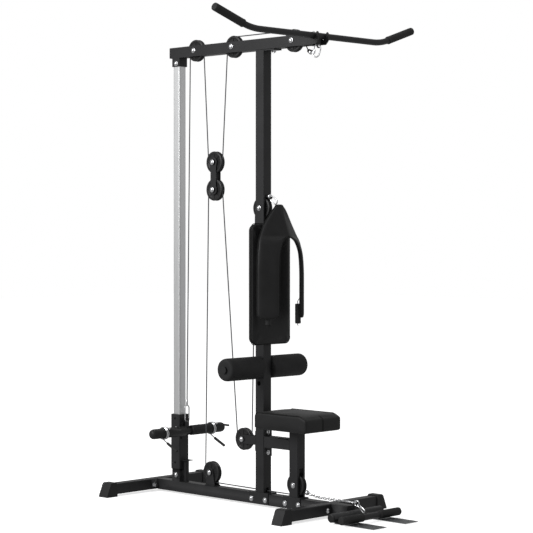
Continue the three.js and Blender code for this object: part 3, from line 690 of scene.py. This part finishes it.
def make_clips():
    eye = middle("carriage_carabiner")
    loop = wire_loop(eye, (0, 0, 1), (0, 1, 0), 0.038, 0.013, 0.003)
    ferrule = turned(eye + Vector((0, 0, 0.0415)), (0, 0, 1),
                     [(-3, 0), (-3, 5), (0, 5.4), (22, 5.4), (24, 4), (24, 0)], 20)
    piece("carriage_carabiner_finished", join_meshes(loop, [ferrule]), "carriage", "zinc",
          ["carriage_carabiner"])

    stop, ball_place = at(277, 0, 2044), at(292, 0, 2036)
    way = (ball_place - stop).normalized()
    rubber = turned(stop - way * 0.001, way, [(0, 0), (0, 6.5), (1.5, 8.2), (9, 9), (10, 8.4), (10, 0)], 28)
    piece("lat_stopper", rubber, "lat_end", "rubber")
    ball = join_meshes(cable_ball(ball_place), [
        turned(ball_place, way, [(8, 0), (8, 4.5), (12.5, 4.5), (12.5, 0)], 16)])
    piece("lat_ball", ball, "lat_end", "zinc", ["lat_clip"])
    centre = middle("lat_carabiner")
    loop = wire_loop(centre, (0.34, 0, 0.94), (0.94, 0, -0.34), 0.0285, 0.0195, 0.003)
    gate = turned(centre + Vector((-0.016, 0, -0.012)), (0.2, 0, 1),
                  [(0, 0), (0, 4.2), (2, 4.6), (15, 4.6), (17, 4.2), (17, 0)], 20)
    piece("lat_carabiner_finished", join_meshes(loop, [gate]), "lat_bar", "zinc", ["lat_carabiner"])

    ball_place, top = at(39, 0, 1402), at(87, 0, 1370)
    way = (top - ball_place).normalized()
    upward = Vector((-way.z, 0, way.x))
    reach = (top - ball_place).length
    centre = ball_place + way * (0.009 + (reach - 0.012) / 2)
    loop = wire_loop(centre, way, upward, (reach - 0.012) / 2, 0.0115, 0.0029)
    piece("crunch_ball", cable_ball(ball_place), "crunch_end", "zinc", ["crunch_clip"])
    piece("crunch_carabiner", loop, "crunch_end", "zinc")
    collar = turned(ball_place + way * 0.0095, way, [(0, 0), (0, 6.5), (4, 6.5), (5, 5.5), (5, 0)], 24)
    piece("crunch_ferrule", collar, "crunch_end", "rubber")


def along_route(route, spacing):
    """Points at even spacing along a broken line."""
    points, left = [route[0].copy()], spacing
    for a, b in zip(route, route[1:]):
        length, done = (b - a).length, 0.0
        while length - done >= left:
            done += left
            points.append(a.lerp(b, done / length))
            left = spacing
        left -= length - done
    return points


def make_chain():
    route = [at(282, 0, 84), at(344, 0, 75.5), at(494, 0, 74.5)]
    spots = along_route(route, 0.0145)
    links = bmesh.new()
    for i, (a, b) in enumerate(zip(spots, spots[1:])):
        way = (b - a).normalized()
        across = Vector((0, 1, 0)) if i % 2 else way.cross(Vector((0, 1, 0)))
        join_meshes(links, [wire_loop((a + b) / 2, way, across, 0.0098, 0.0052, 0.0015, 20, 8)])
    piece("row_chain_links", links, "row_end", "zinc", ["row_chain"])
    piece("row_ball", cable_ball(at(270, 0, 89)), "row_end", "zinc")
    swivel = turned(at(262, 0, 86.5), (-1, 0, -0.2), [(0, 0), (0, 6), (2, 6.8), (10, 5), (10, 0)], 20)
    piece("row_stopper", swivel, "row_end", "rubber")
    hook = wire_loop(at(525, 0, 75), (1, 0, 0.02), (0, 1, 0), 0.027, 0.0085, 0.0028)
    barrel = turned(at(500, 0, 74.6), (1, 0, 0.02),
                    [(-9, 0), (-9, 4), (-6, 5.5), (4, 5.5), (6, 4), (6, 0)], 20)
    piece("row_snap_hook", join_meshes(hook, [barrel]), "row_end", "zinc")
    ring = wire_loop(at(560, 0, 73), (1, 0, -0.2), (0.2, 0, 1), 0.0125, 0.0115, 0.0025)
    piece("row_ring", ring, "row_end", "zinc")
    way = (at(610, 0, 35) - at(568, 0, 68)).normalized()
    beside = way.cross(Vector((0, 1, 0)))
    last = bmesh.new()
    for i, middle_of in enumerate([0.012, 0.032]):
        spot = at(568, 0, 68) + way * middle_of
        join_meshes(last, [wire_loop(spot, way, beside if i % 2 else (0, 1, 0), 0.013, 0.007, 0.0021, 24, 8)])
    piece("row_last_links", last, "row_end", "zinc")


# ------------------------------------------------------------------ bars and grips
def smooth_path(corners, radius, step=0.008):
    """A broken line with its inner corners rounded."""
    points = [corners[0]]
    for before, corner, after in zip(corners, corners[1:], corners[2:]):
        a = corner + (before - corner).normalized() * radius
        b = corner + (after - corner).normalized() * radius
        count = max(4, int(2 * radius / step))
        for i in range(count + 1):
            t = i / count
            points.append(a * (1 - t) ** 2 + corner * (2 * t * (1 - t)) + b * t ** 2)
    points.append(corners[-1])
    return points


def ribbed_grip(start, direction, length, radius, rib=4.2, depth=0.55):
    """A rubber sleeve with rolled ends and shallow ribs."""
    profile = [(0, 0), (0, radius - 2.5), (0.8, radius - 0.8), (2.5, radius + 0.6), (6, radius + 0.6), (8, radius)]
    along = 10.0
    while along + rib < length - 10:
        profile += [(along, radius), (along + rib * 0.2, radius - depth), (along + rib * 0.5, radius - depth),
                    (along + rib * 0.7, radius)]
        along += rib
    profile += [(length - 8, radius), (length - 3, radius - 0.4), (length - 0.8, radius - 2.4), (length, radius - 6),
                (length, 0)]
    return turned(start, direction, profile, 36)


def make_lat_bar():
    z, y_bend, y_end, z_end = 2104, 423, 638, 2175
    corners = [at(338, -y_end, z_end), at(338, -y_bend, z), at(338, y_bend, z), at(338, y_end, z_end)]
    bar = swept(smooth_path(corners, 0.055), 0.0139, 28)
    piece("lat_bar_finished", bar, "lat_bar", "frame_paint", ["lat_bar"])
    tab = bmesh.new()
    steps = 24
    hole, outer = [], []
    centre = at(338, 0, 2062.8)
    for i in range(steps):
        turn = 2 * math.pi * i / steps
        unit = Vector((0, math.cos(turn), math.sin(turn)))
        hole.append(centre + unit * 0.0075)
        reach = 0.0125
        edge = centre + unit * reach
        if unit.z > 0:
            stretch = min(0.0125 / max(abs(unit.y), 1e-6), 0.032 / max(unit.z, 1e-6))
            edge = centre + unit * stretch
        outer.append(edge)
    for face_x in (-0.0025, 0.0025):
        ring = [[tab.verts.new(p + Vector((face_x, 0, 0))) for p in loop] for loop in (hole, outer)]
        ring_faces(tab, ring[0], ring[1])
    verts = list(tab.verts)
    a, b, c, d = (verts[i * steps:(i + 1) * steps] for i in range(4))
    ring_faces(tab, a, c)
    ring_faces(tab, b, d)
    piece("lat_bar_eye", tab, "lat_bar", "frame_paint")
    for side, name in SIDES:
        start = at(338, side * 470, z + (470 - y_bend) * (z_end - z) / (y_end - y_bend))
        end = at(338, side * y_end, z_end)
        way = (end - start).normalized()
        length = (end - start).length / MM + 5
        piece(f"lat_grip_{name}_finished", ribbed_grip(start, way, length, 17.6), "lat_bar", "grip",
              [f"lat_grip_{name}"])


def make_low_bar():
    centre = at(637, 0, 27)
    tube = turned(centre - Vector((0, 0.06, 0)), (0, 1, 0), [(0, 0), (0, 14), (120, 14), (120, 0)], 32)
    eye = wire_loop(at(617, 0, 30), (1, 0, 0.1), (0, 0, 1), 0.012, 0.0085, 0.0035)
    piece("low_bar_finished", join_meshes(tube, [eye]), "row_end", "frame_paint", ["low_bar"])
    for side, name in SIDES:
        start = centre + Vector((0, side * 0.052, 0))
        piece(f"low_grip_{name}_finished", ribbed_grip(start, (0, side, 0), 139, 17.6), "row_end", "grip",
              [f"low_grip_{name}"])


# ------------------------------------------------------------------ weight carriage details
def make_carriage():
    z = middle("peg_sleeve_near").z
    x = middle("peg_sleeve_near").x
    for side, name in SIDES:
        profile = [(0, 0), (0, 20), (1.5, 22.4), (3, 23.4), (194, 23.4), (202, 22.6), (209, 19.8), (213.5, 15.2),
                   (215.6, 9), (216.2, 0)]
        sleeve = turned(Vector((x, side * 0.019, z)), (0, side, 0), profile, 44)
        piece(f"peg_sleeve_{name}_finished", sleeve, "carriage", "plastic", [f"peg_sleeve_{name}"])
        screw = turned(Vector((x, side * 0.075, z + 0.0228)), (0, 0, 1),
                       [(0, 0), (0, 4), (1.6, 3.6), (1.9, 0)], 16)
        piece(f"peg_screw_{name}", screw, "carriage", "zinc")
        make_collar(name, middle(f"collar_{name}").y, x, z)


def make_collar(name, y, x, z):
    """A spring collar: two and a half turns of wire, with a sleeved handle at each end."""
    coil_r, wire_r = 0.0272, 0.0025
    lower_turn, upper_turn = math.radians(-79.5), math.radians(60 - 3 * 360)
    half, steps = 11, 110

    def beside(dx, dz, across):
        return Vector((x + dx * MM, y + across * MM, z + dz * MM))

    coil = []
    for i in range(steps + 1):
        turn = lower_turn + (upper_turn - lower_turn) * i / steps
        coil.append(Vector((x + coil_r * math.cos(turn), y + half * (2 * i / steps - 1) * MM,
                            z + coil_r * math.sin(turn))))
    lower = [beside(100, -75, -half), beside(33, -43, -half)]
    upper = [beside(34, 20.6, half), beside(108, 20, half)]
    piece(f"collar_{name}_finished", swept(lower + coil + upper, wire_r, 10), f"collar_{name}", "zinc",
          [f"collar_{name}"])
    for tag, tip, root, radius in [("lower", lower[0], lower[1], 6.3), ("upper", upper[1], upper[0], 4.8)]:
        way = (root - tip).normalized()
        length = (root - tip).length / MM
        profile = [(-1, 0), (-1, radius - 2), (0.5, radius - 0.3), (2, radius), (length - 4, radius),
                   (length - 1, radius - 1), (length, radius - 2.5), (length, 0)]
        piece(f"collar_grip_{name}_{tag}", turned(tip, way, profile, 20), f"collar_{name}", "grip")


# ------------------------------------------------------------------ foot plates
def make_foot_plates():
    for name in ("near", "far"):
        low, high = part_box(f"foot_plate_{name}")
        bm = block(low, (high.x, high.y, high.z - 0.0008), 0.0006, 1)
        pitch = 0.0165
        rows = int((high.x - low.x - 0.012) / pitch)
        columns = int((high.y - low.y - 0.010) / pitch)
        for i in range(rows):
            for j in range(columns):
                centre = Vector((low.x + 0.014 + i * pitch, low.y + 0.012 + j * pitch, high.z - 0.0009))
                turn = math.radians(45 if (i + j) % 2 else -45)
                stud = bmesh.new()
                outer = []
                for k in range(10):
                    a = 2 * math.pi * k / 10
                    outer.append(stud.verts.new((0.0066 * math.cos(a), 0.0021 * math.sin(a), 0)))
                inner = [stud.verts.new((v.co.x * 0.6, v.co.y * 0.5, 0.0009)) for v in outer]
                ring_faces(stud, outer, inner)
                stud.faces.new(inner)
                stud.faces.new(list(reversed(outer)))
                bmesh.ops.rotate(stud, cent=(0, 0, 0), matrix=Matrix.Rotation(turn, 3, "Z"), verts=stud.verts)
                bmesh.ops.translate(stud, vec=centre, verts=stud.verts)
                join_meshes(bm, [stud])
        piece(f"foot_plate_{name}_finished", bm, "root", "tread_plate", [f"foot_plate_{name}"])


# ------------------------------------------------------------------ soft goods
def remeshed(bm, name, voxel):
    mesh = bpy.data.meshes.new(name)
    bmesh.ops.recalc_face_normals(bm, faces=bm.faces)
    bm.to_mesh(mesh)
    bm.free()
    obj = bpy.data.objects.new(name, mesh)
    bpy.context.scene.collection.objects.link(obj)
    modifier = obj.modifiers.new("remesh", "REMESH")
    modifier.mode = "VOXEL"
    modifier.voxel_size = voxel
    return baked(obj)


def baked(obj):
    """The object's mesh with its modifiers applied; the object itself goes."""
    evaluated = obj.evaluated_get(bpy.context.evaluated_depsgraph_get())
    mesh = bpy.data.meshes.new_from_object(evaluated)
    bpy.data.objects.remove(obj)
    return mesh


def inflated(mesh, cap, held, pressure=4.0, frames=20):
    """Swells a closed mesh as cloth. held(co) is how firmly a point is pinned, from 0 to 1."""
    obj = bpy.data.objects.new("inflating", mesh)
    bpy.context.scene.collection.objects.link(obj)
    rest = [v.co.copy() for v in mesh.vertices]
    group = obj.vertex_groups.new(name="pin")
    for i, co in enumerate(rest):
        weight = held(co)
        if weight > 0:
            group.add([i], weight, "REPLACE")
    cloth = obj.modifiers.new("cloth", "CLOTH")
    settings = cloth.settings
    settings.quality = 6
    settings.mass = 0.3
    settings.tension_stiffness = 18
    settings.compression_stiffness = 18
    settings.shear_stiffness = 8
    settings.bending_stiffness = 0.8
    settings.use_pressure = True
    settings.uniform_pressure_force = pressure
    settings.vertex_group_mass = "pin"
    settings.effector_weights.gravity = 0
    cloth.collision_settings.use_collision = False
    scene = bpy.context.scene
    for number in range(1, frames + 1):
        scene.frame_set(number)
    swollen = obj.evaluated_get(bpy.context.evaluated_depsgraph_get()).data
    for vert, old, new in zip(mesh.vertices, rest, [v.co.copy() for v in swollen.vertices]):
        move = new - old
        if move.length > cap:
            move *= cap / move.length
        vert.co = old + move
    bpy.data.objects.remove(obj)
    scene.frame_set(1)
    return mesh


def smoothed(mesh, rounds, factor=0.5):
    bm = bmesh.new()
    bm.from_mesh(mesh)
    for _ in range(rounds):
        bmesh.ops.smooth_vert(bm, verts=bm.verts, factor=factor,
                              use_axis_x=True, use_axis_y=True, use_axis_z=True)
    bm.to_mesh(mesh)
    bm.free()
    return mesh


def rounded_outline(half_y, z0, z1, corner, steps=8):
    """Points of a rounded rectangle in the Y-Z plane."""
    points = []
    for cy, cz, first in [(half_y - corner, z0 + corner, -90), (half_y - corner, z1 - corner, 0),
                          (-half_y + corner, z1 - corner, 90), (-half_y + corner, z0 + corner, 180)]:
        for i in range(steps + 1):
            turn = math.radians(first + 90 * i / steps)
            points.append((cy + corner * math.cos(turn), cz + corner * math.sin(turn)))
    return points


def make_back_pad():
    low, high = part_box("back_pad")
    outline = rounded_outline(high.y - 0.001, low.z + 0.001, high.z - 0.001, 0.027)
    back, front = low.x + 0.0008, high.x - 0.004
    rings = [[Vector((x, y * s, low.z + (z - low.z) * s + (1 - s) * (high.z - low.z) / 2)) for y, z in outline]
             for x, s in [(back, 0.985), (back + 0.003, 1.0), (front - 0.006, 1.0), (front, 0.972)]]
    mesh = remeshed(loft(rings), "back_pad_shape", 0.0045)
    mesh = inflated(mesh, 0.0035, lambda co: 1.0 if co.x < back + 0.008 else 0.0, pressure=3.0)
    mesh = smoothed(mesh, 3)
    crown(mesh, front, low, high)
    pad = piece("back_pad_cover", mesh, "root", "vinyl", ["back_pad"], angle=80)
    # the welt where the cushion meets the board: a raised cord in the darker piping material, painted shade of the
    # seam groove there
    seam_x = back + 0.006
    seam = [Vector((seam_x, y * 1.012, (z - (low.z + high.z) / 2) * 1.004 + (low.z + high.z) / 2))
            for y, z in outline]
    piece("back_pad_welt", swept(seam, 0.0019, 8, closed=True), "root", "vinyl", look="piping")


def crown(mesh, front, low, high):
    """Lets the padded face stand a little prouder in the middle than at its edges."""
    for vert in mesh.vertices:
        if vert.co.x > front - 0.004:
            u = abs(vert.co.y) / high.y
            v = abs(vert.co.z - (low.z + high.z) / 2) / ((high.z - low.z) / 2)
            vert.co.x += 0.004 * (1 - u ** 2.5) * (1 - v ** 6) - 0.002


def make_seat():
    low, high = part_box("seat_cushion")
    board = block((low.x + 0.012, low.y + 0.010, low.z + 0.0003), (high.x - 0.014, high.y - 0.010, low.z + 0.009),
                  0.002, 2)
    piece("seat_board", board, "root", "board")
    base, skin = low.z + 0.0012, 0.0012
    side = [(low.x + 0.008, base), (high.x - 0.007, base), (high.x - skin, base + 0.005),
            (high.x - skin, high.z - 0.021), (high.x - 0.008, high.z - 0.015), (high.x - 0.028, high.z - 0.0055),
            (high.x - 0.042, high.z - skin), (low.x + 0.018, high.z - skin), (low.x + 0.007, high.z - 0.008),
            (low.x + skin, high.z - 0.019), (low.x + skin, base + 0.007)]
    cx, cz = (low.x + high.x) / 2, (base + high.z) / 2
    half_y = high.y - skin
    rings = []
    for y, shrink in [(-1, 0.004), (-0.97, 0.0), (0.97, 0.0), (1, 0.004)]:
        rings.append([Vector((x + math.copysign(shrink, cx - x), y * half_y, z + math.copysign(shrink, cz - z)))
                      for x, z in side])
    mesh = remeshed(loft(rings), "seat_shape", 0.0042)

    def sewn(co):
        """Held at the board, along the piping and down the front seam."""
        if co.z < base + 0.003 or (abs(co.y) < 0.003 and co.x > high.x - 0.012):
            return 1.0
        near_rim = any(math.hypot(co.x - x, co.z - z) < 0.006 for x, z in dense_side)
        return 1.0 if near_rim and abs(co.y) > half_y - 0.006 else 0.0

    dense_side = [(a[0] + (b[0] - a[0]) * t / 60, a[1] + (b[1] - a[1]) * t / 60)
                  for a, b in zip(side[2:], side[3:]) for t in range(61)]
    mesh = inflated(mesh, 0.003, sewn, pressure=2.5)
    mesh = smoothed(mesh, 2)
    top = high.z - 0.010
    for vert in mesh.vertices:
        if vert.co.z > top:
            u = abs(vert.co.y) / high.y
            vert.co.z += 0.0025 * (1 - u ** 3) - 0.0012
    seat = piece("seat_cushion_cover", mesh, "root", "vinyl", ["seat_cushion"], angle=80)
    # piping round the edge of both sides, and the seam down the middle of the front: raised cords in the darker
    # piping material, whose darkness is painted shade of the seam grooves
    edge = side[2:]
    for name, y in [("near", -1), ("far", 1)]:
        rim = [Vector((cx + (x - cx) * 0.992, y * (half_y - 0.0025), cz + (z - cz) * 0.985)) for x, z in edge]
        piece(f"seat_piping_{name}", swept(smooth_path(rim, 0.002, 0.001), 0.0019, 8), "root", "vinyl",
              look="piping")
    front = [Vector((x + 0.0012, 0, z + 0.0006)) for x, z in side[2:6]]
    piece("seat_front_seam", swept(front, 0.0014, 8), "root", "vinyl", look="piping")


HARNESS_SECTIONS = [      # millimetres from the top: inner edge x, y, outer edge x, y, drop, half thickness
    (11, -20, 11, 19, 4, 7),
    (15, -20, 11, 29, 16, 8.5),
    (22, -18, 10, 46, 34, 9.5),
    (48, -10, 1, 86, 90, 10.5),
    (62, -8, 3, 110, 130, 10.5),
    (67, -4, 5, 119, 147, 10.5),
    (70, 18, 6, 123, 155, 10.5),
    (74, 38, 7, 128, 168, 10.5),
    (78, 52, 9, 133, 190, 10.5),
    (82, 66, 11, 140, 230, 10.5),
    (84, 72, 12.5, 144, 300, 10.5),
    (84, 73, 12.5, 144.5, 400, 10.5),
    (84, 73, 12.5, 144.5, 490, 10.5),
    (80, 77, 16, 141, 505, 9.5),
    (70, 87, 26, 131, 515, 7),
]


def spline(values, t):
    """Catmull-Rom through rows of numbers; t runs from 0 to the last row's index."""
    i = min(int(t), len(values) - 2)
    f = t - i
    rows = [values[max(i - 1, 0)], values[i], values[i + 1], values[min(i + 2, len(values) - 1)]]
    result = []
    for a, b, c, d in zip(*rows):
        result.append(0.5 * (2 * b + (c - a) * f + (2 * a - 5 * b + 4 * c - d) * f ** 2
                             + (3 * b - a - 3 * c + d) * f ** 3))
    return result


def harness_edges(side, rows=150):
    """The yoke's inner and outer edge on one side, with its half thickness, from the top down."""
    top = at(87, 0, 1370)
    result = []
    for i in range(rows + 1):
        inner_x, inner_y, outer_x, outer_y, drop, thick = spline(
            HARNESS_SECTIONS, (len(HARNESS_SECTIONS) - 1) * i / rows)
        result.append((top + Vector((inner_x, side * inner_y, -drop)) * MM,
                       top + Vector((outer_x, side * outer_y, -drop)) * MM, thick * MM))
    return result


def harness_half(side):
    rings = []
    for inner, outer, thick in harness_edges(side):
        centre = (inner + outer) / 2
        wide = (outer - inner) / 2
        deep = Vector((wide.y, -wide.x, 0)).normalized() * thick
        wide -= wide.normalized() * 0.001
        ring = []
        for j in range(32):
            c, s = math.cos(2 * math.pi * j / 32), math.sin(2 * math.pi * j / 32)
            ring.append(centre + wide * math.copysign(abs(c) ** 0.6, c)
                        + deep * math.copysign(abs(s) ** 0.75, s))
        rings.append(ring)
    return loft(rings)


def make_harness():
    mesh = remeshed(join_meshes(harness_half(-1), [harness_half(1)]), "harness_shape", 0.0036)
    pad = piece("harness_pad", smoothed(mesh, 4), "harness", "vinyl", ["crunch_harness"], angle=80)
    near, far = harness_edges(-1), harness_edges(1)
    open_rows = [i for i, (inner, _, _) in enumerate(far) if inner.y > 0]
    crotch = [near[i][0] for i in reversed(open_rows)] + [far[i][0] for i in open_rows]
    # welts along both edges and the arch: real cords in the darker piping material, whose darkness is painted seam
    # shade
    for name, path in [("near", [row[1] for row in near]), ("far", [row[1] for row in far]), ("arch", crotch)]:
        piece(f"harness_welt_{name}", swept(path[4:-6], 0.0017, 8), "harness", "vinyl", look="piping")
    for side, name in SIDES:
        make_harness_grip(side, name)


def make_harness_grip(side, name):
    """A sleeved webbing loop against the inner face of one leg."""
    inward = Vector((-0.707, -side * 0.707, 0))
    across = inward.cross(Vector((0, 0, 1)))
    place = at(123.5, side * 97, 0)
    top, length = 0.918, 90
    profile = [(0, 0), (0, 9), (1, 11.8), (3, 12.9)]
    for along in range(5, 86, 5):
        profile += [(along, 13.5), (along + 1.8, 12.7), (along + 3.6, 13.5)]
    profile += [(length - 1, 12), (length, 9), (length, 0)]
    grip = turned(place + Vector((0, 0, top)), (0, 0, -1), profile, 28)
    piece(f"harness_grip_{name}", grip, "harness", "grip")
    for tag, path in [("strap", [(0, -2), (2, 10), (-7, 24), (-8, 62)]), ("tail", [(0, -88), (2, -97), (-2, -99)])]:
        rings = []
        for away, rise in path:
            centre = place + inward * (away * MM) + Vector((0, 0, top + rise * MM))
            rings.append([centre + across * (a * 0.0095) + inward * (b * 0.0013)
                          for a, b in [(-1, -1), (1, -1), (1, 1), (-1, 1)]])
        piece(f"harness_{tag}_{name}", loft(rings), "harness", "vinyl", look="webbing")


def make_rollers():
    for name, side in [("near", -1), ("far", 1)]:
        low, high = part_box(f"roller_{name}")
        start = Vector((UPRIGHT_X, side * 0.028, (low.z + high.z) / 2))
        r, length = (high.z - low.z) / 2 / MM, (high.y - low.y) / MM
        profile = [(0, 14.8), (0, r - 8), (1, r - 4), (3.5, r - 1.4), (8, r - 0.3), (20, r), (length - 20, r),
                   (length - 11, r - 0.8), (length - 5, r - 3.4), (length - 1.6, r - 8), (length - 0.6, r - 14),
                   (length - 1.4, r - 22), (length - 2.4, 20), (length - 2.6, 14.8), (0, 14.8)]
        foam = piece(f"roller_{name}_foam", turned(start, (0, side, 0), profile, 64), f"roller_{name}", "foam",
                     [f"roller_{name}"], angle=60)


# ------------------------------------------------------------------ build
add_camera()
make_cables()
add_stage()
make_frame()
make_bolts()
make_caps()
make_pulleys()
make_clips()
make_chain()
make_lat_bar()
make_low_bar()
make_carriage()
make_foot_plates()
make_back_pad()
make_seat()
make_harness()
make_rollers()
